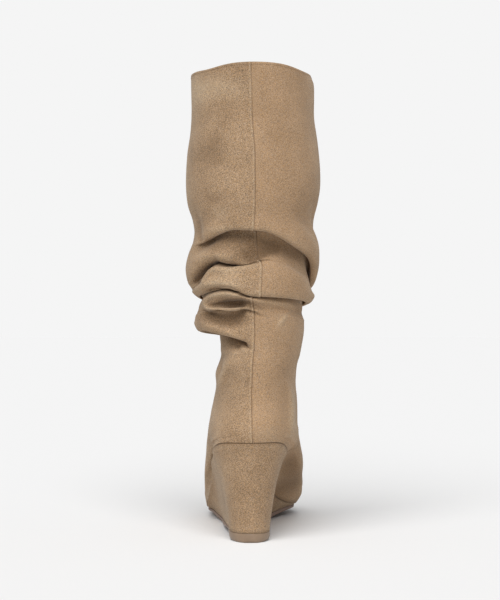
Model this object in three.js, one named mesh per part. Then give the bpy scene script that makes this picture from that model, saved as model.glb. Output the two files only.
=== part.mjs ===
// A slouchy suede wedge boot for the left foot, in millimetres.
// The toe points along +Y, the inner side of the foot along +X and up is +Z.
// The origin is the middle of the heel lift's bottom face, on the floor.
import * as THREE from "three";

// Shaft, open at the rim. The wall is the suede with its lining.
const bootHeight = 413;
const ankleHeight = 152;
const shaftWidth = 119;
const shaftDepth = 124;
const shaftCentreX = 2;
const shaftCentreY = 22;
const wall = 2;

// Foot, measured along the floor, with the back of the seat at heelBack behind the lift's middle
const footLength = 228;
const heelBack = 32.5;
const ballWidth = 91;
const ballShift = 5;
const heelHeight = 86;

// Sole pieces. The wedge ends at wedgeEnd and the outsole is flat from flatStart to flatEnd, all measured
// forwards from the lift's middle.
const liftHeight = 8;
const liftWidth = 35;
const liftDepth = 40;
const soleThickness = 3;
const wedgeTip = 1.5;
const wedgeEnd = 146;
const flatStart = 98;
const flatEnd = 140;
const toeSpring = 5;
const insoleThickness = 2;
const edgeRound = 0.8;
const edgeStep = 2;
const treadInset = 9;
const treadRise = 1.5;
const fitGap = 0.3;
const insoleGap = 2.4;
const insoleToeGap = 3.6;

// Size of the folds: the thickness of a rolled lip, and the slot between it and the leather below
const rollThickness = 4 * wall;
const slotWidth = 1.5 * wall;

// Columns round the upper, closer together at the back, where the folds are deepest
const columns = 46;
const backCrowding = 0.22;
const soleSteps = 20;
const liftSteps = 8;
const minimumTread = 0.4;
const degree = Math.PI / 180;

// Plain outline of the shaft. Height is a share of the way from the ankle to the rim. The outer and inner
// sides are shares of half shaftWidth, back and front of half shaftDepth.
const shaftSections = [
  { height: 0.0, outer: 0.54, inner: 0.66, back: 0.79, front: 0.73 },
  { height: 0.027, outer: 0.5, inner: 0.695, back: 0.79, front: 0.735 },
  { height: 0.058, outer: 0.49, inner: 0.725, back: 0.795, front: 0.755 },
  { height: 0.09, outer: 0.52, inner: 0.75, back: 0.805, front: 0.79 },
  { height: 0.122, outer: 0.85, inner: 0.77, back: 0.815, front: 0.86 },
  { height: 0.161, outer: 0.89, inner: 0.775, back: 0.83, front: 0.92 },
  { height: 0.201, outer: 0.86, inner: 0.79, back: 0.85, front: 0.94 },
  { height: 0.225, outer: 0.84, inner: 0.915, back: 0.94, front: 0.95 },
  { height: 0.264, outer: 0.96, inner: 0.935, back: 0.95, front: 0.96 },
  { height: 0.327, outer: 1.03, inner: 0.985, back: 0.94, front: 0.98 },
  { height: 0.383, outer: 0.99, inner: 1.01, back: 0.96, front: 0.99 },
  { height: 0.438, outer: 0.9, inner: 0.98, back: 0.985, front: 0.98 },
  { height: 0.494, outer: 0.905, inner: 0.885, back: 0.97, front: 0.97 },
  { height: 0.573, outer: 0.995, inner: 0.995, back: 1.01, front: 1.01 },
  { height: 0.747, outer: 1.0, inner: 0.995, back: 1.01, front: 1.01 },
  { height: 0.818, outer: 0.945, inner: 0.93, back: 1.0, front: 1.0 },
  { height: 1.0, outer: 0.94, inner: 0.93, back: 1.0, front: 1.0 },
];

// Stations round the shaft, in degrees from the back seam towards the inner side of the foot.
const stations = [-150, -105, -78, -58, -40, -24, -8, 12, 40, 66, 90, 125];

// Folds from the top, with one value for each station. A lip hangs over the leather below it, a crease
// only runs in. Height is a share of the way from the ankle to the rim. Strength goes from 0, smooth, to
// 1. Below is how far the next crest lies inside the plain outline. Below, overlap and reach are shares
// of half shaftWidth.
const folds = [
  {
    name: "sleeve lip", kind: "lip", overlap: 0.2,
    height: [0.367, 0.399, 0.41, 0.411, 0.426, 0.449, 0.451, 0.443, 0.392, 0.331, 0.272, 0.256],
    strength: [0.25, 0.05, 0, 0.2, 0.85, 1, 1, 1, 1, 1, 1, 0.8],
    below: [0.05, 0.03, 0, 0, 0.03, 0.09, 0.13, 0.15, 0.17, 0.15, 0.08, 0.05],
  },
  {
    name: "lobe crease", kind: "crease", overlap: 0.06, reach: 0.17,
    height: [0.296, 0.288, 0.279, 0.298, 0.335, 0.335, 0.335, 0.354, 0.327, 0.295, 0.262, 0.236],
    strength: [0.35, 0.4, 0.15, 0.75, 1, 0.85, 0.75, 0.4, 0.05, 0, 0, 0.1],
    below: [0.02, 0.03, 0.04, 0.05, 0.05, 0.03, 0.01, 0, 0, 0.02, 0.03, 0.03],
  },
  {
    name: "band lip", kind: "lip", overlap: 0.17,
    height: [0.209, 0.228, 0.24, 0.247, 0.256, 0.263, 0.237, 0.234, 0.229, 0.221, 0.214, 0.193],
    strength: [0.35, 0.45, 0.55, 0.65, 0.65, 0.6, 0.8, 1, 1, 1, 0.9, 0.45],
    below: [0.04, 0.04, 0.03, 0.02, 0, 0, 0.03, 0.05, 0.05, 0.05, 0.04, 0.04],
  },
  {
    name: "mouth", kind: "crease", overlap: 0.05, reach: 0.14,
    height: [0.18, 0.19, 0.193, 0.198, 0.21, 0.214, 0.214, 0.193, 0.185, 0.177, 0.174, 0.161],
    strength: [0, 0, 0, 0.1, 0.6, 1, 0.75, 0.05, 0, 0, 0, 0],
    below: [0.02, 0.02, 0.01, 0.01, 0, 0.01, 0.03, 0.02, 0, 0, 0, 0.02],
  },
  {
    name: "roll crease", kind: "crease", overlap: 0.06, reach: 0.1,
    height: [0.157, 0.165, 0.169, 0.169, 0.17, 0.172, 0.174, 0.163, 0.158, 0.15, 0.146, 0.138],
    strength: [0, 0, 0, 0.25, 0.85, 1, 0.6, 0.1, 0, 0, 0, 0],
    below: [0, 0, 0, 0, 0.01, 0.02, 0.02, 0.01, 0, 0, 0, 0],
  },
  {
    name: "ankle lip", kind: "lip", overlap: 0.16, reach: 0.2,
    height: [0.101, 0.115, 0.123, 0.12, 0.109, 0.098, 0.092, 0.09, 0.09, 0.09, 0.091, 0.096],
    strength: [0.6, 0.95, 1, 1, 0.95, 0.7, 0.3, 0, 0, 0, 0, 0.3],
    below: [0, 0, 0, 0, 0, 0, 0, 0, 0, 0, 0, 0],
  },
];

// Key points across a full fold, and the rise of the same leather where it lies smooth. Rise, roll and
// smooth count rolls above the fold's line and into the shaft, overlap and reach count the fold's own.
const lipPoints = [
  { rise: 0.95, overlap: 0, roll: 0, slot: 0, smooth: 0.6 },
  { rise: 0.12, overlap: 0, roll: 0.2, slot: 0, smooth: 0.35 },
  { rise: 0.1, overlap: 0, roll: 0.78, slot: 0, smooth: 0.12 },
  { rise: 0, overlap: 0.6, roll: 1, slot: 0, reach: 0.05, smooth: -0.12 },
  { rise: 0, overlap: 1, roll: 1, slot: 0.5, reach: 0.5, smooth: -0.35 },
  { rise: 0, overlap: 0.4, roll: 1, slot: 1, reach: 1, smooth: -0.6 },
];
const creasePoints = [
  { overlap: 0.5, reach: 0.12, smooth: 0.3 },
  { overlap: 0.6, reach: 1, smooth: 0 },
  { overlap: -0.75, reach: 0.45, smooth: -0.3 },
];

// Rows of the smooth sleeve above the first lip, as shares of the way down from the rim, and rows of the
// ankle below the last lip, as shares of the way up to the rim.
const sleeveRows = [0, 0.11, 0.22, 0.34, 0.46, 0.57, 0.67, 0.77, 0.86, 0.94];
const ankleRows = [0.06, 0.038, 0.012];

// Rings from the ankle down to the feather edge. Back is the share of the way up from the seat to the
// ankle, front a share of ankleHeight, backOut and frontOut are shares of heelBack and footLength. The
// half widths from seat to tip are shares of half ballWidth. The shifts to the inner side count
// ballShift. Follow is how far the ring takes the curve of the foot's bottom, and edge how far it takes
// the centre line of the feather edge.
const ringColumns = [
  "back", "backOut", "front", "frontOut", "seat", "heel", "waist", "ball", "toe", "tip",
  "heelShift", "toeShift", "follow", "edge",
];
const footRings = [
  [0.86, 0.83, 0.98, 0.44, 0.67, 0.7, 0.78, 0.81, 0.78, 0.76, 0.9, 0.9, 0, 0],
  [0.68, 0.83, 0.9, 0.458, 0.7, 0.72, 0.77, 0.82, 0.81, 0.78, 0.95, 1, 0, 0],
  [0.52, 0.87, 0.79, 0.495, 0.78, 0.78, 0.82, 0.87, 0.87, 0.82, 0.75, 0.95, 0, 0],
  [0.38, 0.95, 0.66, 0.55, 0.9, 0.88, 0.87, 0.93, 1.05, 0.95, 0.4, 0.75, 0.02, 0],
  [0.27, 1.01, 0.51, 0.62, 1.03, 0.97, 0.91, 0.98, 1.16, 1.1, 0.1, 0.65, 0.06, 0],
  [0.19, 1.04, 0.375, 0.705, 1.12, 1.02, 0.92, 1.07, 1.25, 1.25, -0.1, 1, 0.2, 0],
  [0.125, 1.04, 0.29, 0.8, 1.18, 1.07, 0.88, 1.12, 1.37, 1.4, -0.1, 1.2, 0.5, 0.1],
  [0.075, 1.03, 0.237, 0.91, 1.25, 1.075, 0.82, 1.13, 1.35, 1.45, -0.1, 1.5, 0.8, 0.25],
  [0.035, 1.015, 0.165, 0.985, 1.3, 1.07, 0.75, 1.08, 1.46, 1.6, -0.15, 1.5, 0.95, 0.5],
].map((values) => Object.fromEntries(ringColumns.map((name, i) => [name, values[i]])));

// Half widths of the feather edge, where the upper meets the wedge and the outsole, in the same shares.
const featherEdge = { seat: 1.32, heel: 1.06, waist: 0.68, ball: 0.91, toe: 1.36, tip: 1.5 };
const widthShares = { seat: 0, heel: 0.13, waist: 0.38, ball: 0.68, toe: 0.87, tip: 1 };

// Centre line of the feather edge: at is a share of footLength from the back, shift counts ballShift to
// the inner side. The waist is cut in under the arch.
const centreLine = [
  { at: 0, shift: -0.22 },
  { at: 0.13, shift: -0.32 },
  { at: 0.38, shift: -0.92 },
  { at: 0.52, shift: -1.1 },
  { at: 0.6, shift: -0.8 },
  { at: 0.69, shift: -0.16 },
  { at: 0.78, shift: 0.52 },
  { at: 0.87, shift: 0.88 },
  { at: 1, shift: 0.8 },
];

// Height of the foot's bottom: at is a share of footLength from the back, height goes from the forefoot's
// own height, 0, to heelHeight, 1.
const bottomSections = [
  { at: 0, height: 1.0 },
  { at: 0.12, height: 0.97 },
  { at: 0.24, height: 0.865 },
  { at: 0.4, height: 0.58 },
  { at: 0.55, height: 0.225 },
  { at: 0.66, height: 0.05 },
  { at: 0.75, height: 0 },
];

// Bottom of the wedge: at is a share of its length. Lift and ball, the shares of half liftWidth and of
// half ballWidth, add up to its half width before its round back is drawn in.
const wedgeBottom = [
  { at: 0, lift: 2.2, ball: 0 },
  { at: 0.09, lift: 1.9, ball: 0 },
  { at: 0.19, lift: 1.4, ball: 0 },
  { at: 0.32, lift: 1.21, ball: 0 },
  { at: 0.48, lift: 1, ball: 0.06 },
  { at: 0.64, lift: 0.6, ball: 0.19 },
  { at: 0.72, lift: 0.4, ball: 0.34 },
  { at: 0.81, lift: 0.2, ball: 0.57 },
  { at: 0.9, lift: 0, ball: 0.85 },
  { at: 1, lift: 0, ball: 1.09 },
];

// Way in of the wedge's side from its top, 0, to its bottom, 1, at shares of its height.
const wedgeSide = [
  { down: 0, way: 0 },
  { down: 0.12, way: 0.19 },
  { down: 0.3, way: 0.42 },
  { down: 0.55, way: 0.68 },
  { down: 0.8, way: 0.88 },
  { down: 1, way: 1 },
];

// Smooth curve through values at uneven places, level at both ends.
function curveThrough(places, values, at) {
  const last = places.length - 1;
  if (at <= places[0]) return values[0];
  if (at >= places[last]) return values[last];
  const i = places.findIndex((place) => place > at) - 1;
  const slope = (k) => (values[k + 1] - values[k]) / (places[k + 1] - places[k]);
  const lean = (k) => (k <= 0 || k >= last ? 0 : (slope(k - 1) + slope(k)) / 2);
  const span = places[i + 1] - places[i];
  const t = (at - places[i]) / span;
  const startPart = (1 + 2 * t) * (1 - t) * (1 - t) * values[i] + t * (1 - t) * (1 - t) * span * lean(i);
  const endPart = t * t * (3 - 2 * t) * values[i + 1] - t * t * (1 - t) * span * lean(i + 1);
  return startPart + endPart;
}

// The same curve round the shaft, where the first station follows the last.
function stationValue(values, angle) {
  const turn = 360;
  const places = [...stations.map((s) => s - turn), ...stations, ...stations.map((s) => s + turn)];
  return curveThrough(places, [...values, ...values, ...values], angle / degree);
}

// Value of one column of a table at a place.
function tableValue(table, placeName, valueName, at) {
  return curveThrough(table.map((row) => row[placeName]), table.map((row) => row[valueName]), at);
}

function between(start, end, share) {
  return start + (end - start) * share;
}

// Point on the shaft at an angle, at a share of the way up to the rim, moved inwards by an inset.
function shaftPoint(angle, share, inset) {
  const s = Math.sin(angle);
  const c = Math.cos(angle);
  const side = tableValue(shaftSections, "height", s > 0 ? "inner" : "outer", share) * shaftWidth / 2;
  const end = tableValue(shaftSections, "height", c > 0 ? "back" : "front", share) * shaftDepth / 2;
  const z = between(ankleHeight, bootHeight, share);
  return new THREE.Vector3(shaftCentreX + (side - inset) * s, shaftCentreY - (end - inset) * c, z);
}

// Key rows of a fold at an angle, as shares of the way up to the rim and insets. Above and under are the
// insets of the crests on both sides, and leather that lies smooth runs straight from one to the other.
function foldRows(fold, angle, above, under) {
  const shaftLength = bootHeight - ankleHeight;
  const line = stationValue(fold.height, angle);
  const strength = Math.min(1, Math.max(0, stationValue(fold.strength, angle)));
  const overlap = fold.overlap * shaftWidth / 2;
  const points = fold.kind === "lip" ? lipPoints : creasePoints;
  return points.map((point, i) => {
    const rise = (point.rise ?? 0) * rollThickness + point.overlap * overlap;
    const roll = (point.roll ?? 0) * rollThickness + (point.slot ?? 0) * slotWidth;
    const reach = (point.reach ?? 0) * (fold.reach ?? 0) * shaftWidth / 2;
    const plain = between(above, under, (i + 1) / (points.length + 1));
    const share = line + between(point.smooth * rollThickness, rise, strength) / shaftLength;
    return { share, inset: between(plain, roll + reach, strength) };
  });
}

// Key rows of the shaft at an angle, from the rim to the ankle, with a crest halfway between two folds.
function shaftRows(angle) {
  const crests = folds.map((fold) => Math.max(0, stationValue(fold.below, angle)) * shaftWidth / 2);
  const blocks = folds.map((fold, k) => foldRows(fold, angle, k ? crests[k - 1] : 0, crests[k]));
  const rows = sleeveRows.map((down) => ({ share: between(1, blocks[0][0].share, down), inset: 0 }));
  blocks.forEach((block, k) => {
    rows.push(...block);
    if (k + 1 === blocks.length) return;
    const end = Math.min(block[block.length - 1].share, stationValue(folds[k].height, angle));
    rows.push({ share: (end + blocks[k + 1][0].share) / 2, inset: crests[k] });
  });
  return [...rows, ...ankleRows.map((share) => ({ share, inset: 0 }))];
}

// Height of the outsole's underside: it rises to the heel lift, lies flat at the ball and springs at the
// toe.
function soleUnderside(y) {
  const archShare = Math.min(1, Math.max(0, (y - liftDepth / 2) / (flatStart - liftDepth / 2)));
  const arch = (liftHeight - soleThickness) * (1 - archShare * archShare * (3 - 2 * archShare));
  const spring = Math.max(0, y - flatEnd) / (footLength - heelBack - flatEnd);
  return arch + toeSpring * spring * spring;
}

// Height of the foot's bottom above the floor, where the upper, wedge and insole meet.
function bottomHeight(y) {
  const forefoot = soleThickness + fitGap + wedgeTip;
  const share = tableValue(bottomSections, "at", "height", (y + heelBack) / footLength);
  const spring = y > flatEnd ? soleUnderside(y) : 0;
  return between(forefoot, heelHeight, share) + spring;
}

// Half width of a ring at a share of its length, before its round ends are drawn in.
function ringWidth(ring, share) {
  const names = Object.keys(widthShares);
  return curveThrough(Object.values(widthShares), names.map((name) => ring[name]), share) * ballWidth / 2;
}

// Shift of a foot section to the inner side, at a share of the foot's length.
function centreShift(share) {
  return tableValue(centreLine, "at", "shift", share) * ballShift;
}

// Shift of a ring to the inner side, at a share of its length.
function ringShift(ring, share) {
  const own = between(ring.heelShift, ring.toeShift, Math.min(1, share / widthShares.ball)) * ballShift;
  return between(own, centreShift(share), ring.edge);
}

// Point of a ring round the foot at an angle from its back.
function ringPoint(ring, angle) {
  const share = (1 - Math.cos(angle)) / 2;
  const y = between(-ring.backOut * heelBack, ring.frontOut * footLength - heelBack, share);
  const back = between(heelHeight, ankleHeight, ring.back);
  const straight = between(back, ring.front * ankleHeight, share);
  const chord = between(heelHeight, bottomHeight(footLength - heelBack), share);
  const curve = ring.follow * (bottomHeight(footLength * share - heelBack) - chord);
  const x = ringShift(ring, share) + ringWidth(ring, share) * Math.sin(angle);
  return new THREE.Vector3(x, y, straight + curve);
}

// Feather edge of the foot at an angle from the back, moved inwards by an inset.
function featherPoint(angle, inset) {
  const share = (1 - Math.cos(angle)) / 2;
  const y = between(inset - heelBack, footLength - heelBack - inset, share);
  const half = ringWidth(featherEdge, share) * Math.sin(angle);
  const x = centreShift(share) + half - inset * Math.sin(angle);
  return new THREE.Vector3(x, y, bottomHeight(y));
}

// Half width of the feather edge at a place along the foot, and its shift to the inner side.
function featherHalf(y) {
  const share = Math.min(1, Math.max(0, (y + heelBack) / footLength));
  return ringWidth(featherEdge, share) * 2 * Math.sqrt(share * (1 - share));
}

function footShift(y) {
  return centreShift((y + heelBack) / footLength);
}

// Column of points down the outside of the upper at an angle, from the rim to the feather edge.
function upperColumn(angle) {
  const edge = featherPoint(angle, 0);
  edge.z += fitGap;
  return [
    ...shaftRows(angle).map((row) => shaftPoint(angle, row.share, row.inset)),
    ...footRings.map((ring) => ringPoint(ring, angle)),
    edge,
  ];
}

// Grid moved inwards along its own normals. The rim and the bottom edge keep their heights.
function insideOf(grid, thickness) {
  const lastRow = grid[0].length - 1;
  return grid.map((column, i) => column.map((point, j) => {
    const before = grid[(i + grid.length - 1) % grid.length][j];
    const after = grid[(i + 1) % grid.length][j];
    const up = column[Math.max(0, j - 1)];
    const down = column[Math.min(lastRow, j + 1)];
    const normal = after.clone().sub(before).cross(up.clone().sub(down));
    if (j === 0 || j === lastRow) normal.z = 0;
    return point.clone().addScaledVector(normal.normalize(), -thickness);
  }));
}

function meshGeometry(points, index) {
  const geometry = new THREE.BufferGeometry();
  const numbers = points.flatMap((point) => point.toArray());
  geometry.setAttribute("position", new THREE.Float32BufferAttribute(numbers, 3));
  geometry.setIndex(index);
  return geometry;
}

// Closed surface from a grid of points that runs round in both directions. Each cell is split along its
// shorter diagonal.
function ringGeometry(grid) {
  const across = grid[0].length;
  const points = grid.flat();
  const index = [];
  for (let i = 0; i < grid.length; i++) {
    for (let j = 0; j < across; j++) {
      const a = i * across + j;
      const b = i * across + (j + 1) % across;
      const c = ((i + 1) % grid.length) * across + (j + 1) % across;
      const d = ((i + 1) % grid.length) * across + j;
      const shorter = points[a].distanceTo(points[c]) < points[b].distanceTo(points[d]);
      index.push(...(shorter ? [a, b, c, a, c, d] : [a, b, d, b, c, d]));
    }
  }
  return meshGeometry(points, index);
}

// Solid between loops, from the top one down. A loop starts at the middle of its back, and its caps are
// strips between the points that lie opposite each other.
function loopGeometry(loops) {
  const count = loops[0].length;
  const index = [];
  for (let k = 0; k + 1 < loops.length; k++) {
    for (let i = 0; i < count; i++) {
      const a = k * count + i;
      const b = k * count + (i + 1) % count;
      index.push(a, a + count, b, b, a + count, b + count);
    }
  }
  const cap = (start, faceUp) => {
    const face = (a, b, c) => index.push(...(faceUp ? [a, b, c] : [a, c, b]).map((i) => start + i));
    for (let i = 0; i < count / 2; i++) {
      const left = (count - i) % count;
      const nextLeft = count - i - 1;
      if (i !== left) face(i, i + 1, left);
      if (i + 1 !== nextLeft) face(i + 1, nextLeft, left);
    }
  };
  cap(0, true);
  cap((loops.length - 1) * count, false);
  return meshGeometry(loops.flat(), index);
}

// Whole loop from its half on the inner side of the foot, given as place, half width and height.
function mirroredLoop(half) {
  const point = (row, side) => new THREE.Vector3(footShift(row.y) + side * row.half, row.y, row.z);
  const inner = half.map((row) => point(row, 1));
  const outer = half.slice(1, -1).reverse().map((row) => point(row, -1));
  return [...inner, ...outer];
}

// Angle from the back at which a ring reaches a share of its length.
function angleAt(share) {
  return Math.acos(1 - 2 * share);
}

// Angle of a column of the upper, counted from the back seam. The columns crowd towards the back.
function columnAngle(i) {
  const even = i * 2 * Math.PI / columns;
  return even - backCrowding * Math.sin(even);
}

const wedgeAngle = angleAt((wedgeEnd + heelBack) / footLength);

// Half width of the wedge's bottom at a place along the foot.
function wedgeHalf(y) {
  const share = Math.min(1, Math.max(0, (y + liftDepth / 2) / (wedgeEnd + liftDepth / 2)));
  const lift = tableValue(wedgeBottom, "at", "lift", share) * liftWidth / 2;
  const ball = tableValue(wedgeBottom, "at", "ball", share) * ballWidth / 2;
  return (lift + ball) * Math.sin(angleAt(share * (1 - Math.cos(wedgeAngle)) / 2));
}

// Half width of the outsole, which is flush with the wedge and goes on under the feather edge to the toe.
function soleHalf(y) {
  return y < wedgeEnd ? wedgeHalf(y) : Math.max(0, featherHalf(y) - edgeStep);
}

// Places from start to end, closer together where an end is round.
function roundPlaces(start, end, steps, roundStart) {
  return Array.from({ length: steps + 1 }, (_, i) => {
    const share = i / steps;
    const eased = roundStart ? 1 - Math.cos(share * Math.PI / 2) : Math.sin(share * Math.PI / 2);
    return between(start, end, eased);
  });
}

function makeUpper() {
  const outside = Array.from({ length: columns }, (_, i) => upperColumn(columnAngle(i - columns / 2)));
  const inside = insideOf(outside, wall);
  return ringGeometry(outside.map((column, i) => [...column, ...inside[i].reverse()]));
}

function makeWedge() {
  const halfColumns = Array.from({ length: columns / 2 }, (_, i) => columnAngle(i));
  const angles = [...halfColumns.filter((angle) => angle < wedgeAngle), wedgeAngle];
  const loops = wedgeSide.map(({ down, way }) => {
    const half = angles.map((angle) => {
      const share = (1 - Math.cos(angle)) / (1 - Math.cos(wedgeAngle));
      const topY = featherPoint(angle, 0).y;
      const underY = between(-liftDepth / 2, wedgeEnd, share);
      const under = soleUnderside(underY) + soleThickness + fitGap;
      const width = between(featherHalf(topY), wedgeHalf(underY), way);
      return { y: between(topY, underY, way), half: width, z: between(bottomHeight(topY), under, down) };
    });
    const tip = half[half.length - 1];
    return mirroredLoop([...half, { y: tip.y, half: 0, z: tip.z }]);
  });
  return loopGeometry(loops);
}

function makeLift() {
  const places = roundPlaces(-liftDepth / 2, liftDepth / 2, liftSteps, true);
  const rounds = [{ inset: 0, z: liftHeight }, { inset: 0, z: edgeRound }, { inset: edgeRound, z: 0 }];
  const loops = rounds.map(({ inset, z }) => {
    const half = places.map((y, i) => ({ y: i ? y : y + inset, half: i && wedgeHalf(y) - inset, z }));
    return mirroredLoop([...half, { y: liftDepth / 2, half: 0, z }]);
  });
  return loopGeometry(loops);
}

// Outsole from the lift to the toe, with a step up at the wedge's tip and a rounded tread.
function makeOutsole() {
  const back = liftDepth / 2 + fitGap;
  const tip = footLength - heelBack - edgeStep;
  const underWedge = wedgeEnd + fitGap / 2;
  const places = [
    ...Array.from({ length: soleSteps + 1 }, (_, i) => between(back, underWedge, i / soleSteps)),
    ...roundPlaces(wedgeEnd + fitGap, tip, soleSteps / 2, false),
  ];
  const rounds = [{ inset: 0, lift: 1 }, { inset: 0, lift: 0 }, { inset: treadInset, lift: 0 }];
  const loops = rounds.map(({ inset, lift }) => {
    const row = (y, half) => {
      const bottom = soleUnderside(y) + (inset ? 0 : treadRise);
      const wedgeTop = soleUnderside(y) + soleThickness;
      const top = y < wedgeEnd + fitGap ? wedgeTop : bottomHeight(y);
      const centred = half === 0 ? 0 : Math.max(half * minimumTread, half - inset);
      return { y, half: centred, z: lift ? top : bottom };
    };
    const sides = places.slice(0, -1).map((y) => row(y, soleHalf(y)));
    return mirroredLoop([row(back, 0), ...sides, row(tip - inset, 0)]);
  });
  return loopGeometry(loops);
}

// Board on which the foot stands, inside the upper and just above the wedge.
function makeInsole() {
  const loops = [insoleThickness, 0].map((rise) => {
    const half = Array.from({ length: columns / 2 + 1 }, (_, i) => {
      const angle = columnAngle(i);
      const inset = wall + between(insoleGap, insoleToeGap, (1 - Math.cos(angle)) / 2);
      const point = featherPoint(angle, inset);
      const width = i % (columns / 2) ? featherHalf(point.y) - inset : 0;
      return { y: point.y, half: Math.max(0, width), z: point.z + fitGap + rise };
    });
    return mirroredLoop(half);
  });
  return loopGeometry(loops);
}

const suede = new THREE.MeshStandardMaterial({ color: 0xab9175, roughness: 0.95, metalness: 0 });
const rubber = new THREE.MeshStandardMaterial({ color: 0xa08062, roughness: 0.5, metalness: 0 });
const soleLeather = new THREE.MeshStandardMaterial({ color: 0x967d69, roughness: 0.55, metalness: 0 });
const lining = new THREE.MeshStandardMaterial({ color: 0xb9a284, roughness: 0.8, metalness: 0 });

function sub(name, geometry, material) {
  const mesh = new THREE.Mesh(geometry, material);
  mesh.name = name;
  return mesh;
}

const boot = new THREE.Group();
boot.add(sub("upper", makeUpper(), suede));
boot.add(sub("wedge", makeWedge(), suede));
boot.add(sub("heel_lift", makeLift(), rubber));
boot.add(sub("outsole", makeOutsole(), soleLeather));
boot.add(sub("insole", makeInsole(), lining));

export default boot;
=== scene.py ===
import math

import bmesh
import bpy
import numpy as np
from mathutils import Matrix, Vector, noise


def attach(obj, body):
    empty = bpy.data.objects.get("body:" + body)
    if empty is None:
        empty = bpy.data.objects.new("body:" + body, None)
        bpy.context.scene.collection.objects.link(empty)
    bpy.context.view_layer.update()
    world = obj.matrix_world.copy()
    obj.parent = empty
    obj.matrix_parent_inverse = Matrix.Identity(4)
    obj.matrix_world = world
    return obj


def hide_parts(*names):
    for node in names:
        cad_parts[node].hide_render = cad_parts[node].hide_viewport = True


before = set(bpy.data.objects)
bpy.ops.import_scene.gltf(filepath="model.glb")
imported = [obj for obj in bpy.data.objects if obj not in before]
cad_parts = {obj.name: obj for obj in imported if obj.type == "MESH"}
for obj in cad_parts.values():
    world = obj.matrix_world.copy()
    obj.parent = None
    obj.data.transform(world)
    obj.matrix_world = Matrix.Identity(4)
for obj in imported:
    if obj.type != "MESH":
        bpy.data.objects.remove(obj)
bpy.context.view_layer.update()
root = "root"
mm = 0.001  # the boot is measured in millimetres, Blender works in metres
weld = 1e-6  # corners that are closer than this, in metres, are joined
print("frame loaded")

# Sizes of the boot, the same as the solids have
boot = {
    "height": 413, "ankle": 152, "shaftWidth": 119, "shaftDepth": 124, "shaftX": 2, "shaftY": 22,
    "length": 228, "heelBack": 32.5, "ball": 91, "shift": 5, "heel": 86,
    "liftHeight": 8, "liftWidth": 35, "liftDepth": 40, "sole": 3, "wedgeTip": 1.5, "wedgeEnd": 146,
    "flatStart": 98, "flatEnd": 140, "toeSpring": 5, "roll": 8, "slot": 3, "gap": 0.3, "edgeStep": 2,
}

footEnd = boot["length"] - boot["heelBack"]

# Plain outline of the shaft: shares of the way from the ankle to the rim, and of the half width or
# half depth on each side
shaftHeights = [0.0, 0.027, 0.058, 0.09, 0.122, 0.161, 0.201, 0.225, 0.264, 0.327, 0.383, 0.438, 0.494, 0.573,
                0.747, 0.818, 1.0]
shaftSides = {
    "outer": [0.54, 0.5, 0.49, 0.52, 0.85, 0.89, 0.86, 0.84, 0.96, 1.03, 0.99, 0.9, 0.905, 0.995,
              1.0, 0.945, 0.94],
    "inner": [0.66, 0.695, 0.725, 0.75, 0.77, 0.775, 0.79, 0.915, 0.935, 0.985, 1.01, 0.98, 0.885, 0.995,
              0.995, 0.93, 0.93],
    "back": [0.79, 0.79, 0.795, 0.805, 0.815, 0.83, 0.85, 0.94, 0.95, 0.94, 0.96, 0.985, 0.97, 1.01,
             1.01, 1.0, 1.0],
    "front": [0.73, 0.735, 0.755, 0.79, 0.86, 0.92, 0.94, 0.95, 0.96, 0.98, 0.99, 0.98, 0.97, 1.01,
              1.01, 1.0, 1.0],
}

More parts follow.
